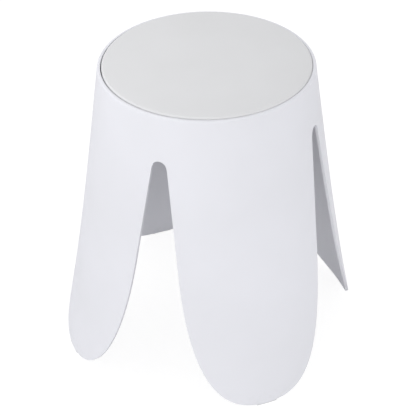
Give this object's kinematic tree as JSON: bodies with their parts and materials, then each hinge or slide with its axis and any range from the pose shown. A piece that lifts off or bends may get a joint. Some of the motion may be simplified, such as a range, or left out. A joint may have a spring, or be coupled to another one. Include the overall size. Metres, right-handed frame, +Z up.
{
  "type": "shower stool",
  "caption": "Round shower stool with a flared shell cut into petal legs, a lift-out seat set in the rim, and non-slip strips under the leg tips.",
  "frame": {"origin": "on the floor, on the stool's vertical axis", "axes": "+Z up; the slots between the legs face +X, +Y, -X and -Y, and the legs stand on the diagonals"},
  "size_m": [0.3972, 0.3972, 0.4536],
  "materials": {
    "shell_plastic": "satin white moulded plastic with a very fine grain",
    "seat_plastic": "matte pale grey moulded plastic with a fine non-slip texture",
    "frame_plastic": "plain pale grey moulded plastic",
    "soft_rubber": "soft off-white elastomer",
    "stainless_steel": "stainless steel"
  },
  "bodies": {
    "stool": {"shell": "shell_plastic", "foot_strip_1": "soft_rubber", "foot_strip_2": "soft_rubber", "foot_strip_3": "soft_rubber", "foot_strip_4": "soft_rubber"},
    "seat": {"seat_cover": "seat_plastic", "seat_frame": "frame_plastic", "seat_screw_1": "stainless_steel", "seat_screw_2": "stainless_steel", "seat_screw_3": "stainless_steel", "seat_screw_4": "stainless_steel", "seat_screw_5": "stainless_steel", "seat_screw_6": "stainless_steel", "seat_screw_7": "stainless_steel", "seat_screw_8": "stainless_steel", "seat_bumper_1": "soft_rubber", "seat_bumper_2": "soft_rubber", "seat_bumper_3": "soft_rubber", "seat_bumper_4": "soft_rubber", "seat_bumper_5": "soft_rubber", "seat_bumper_6": "soft_rubber"}
  },
  "joints": [
    {"name": "seat_lift", "type": "slide", "parent": "stool", "child": "seat", "axis": [0, 0, 1], "range_m": [0, 0.06]}
  ]
}
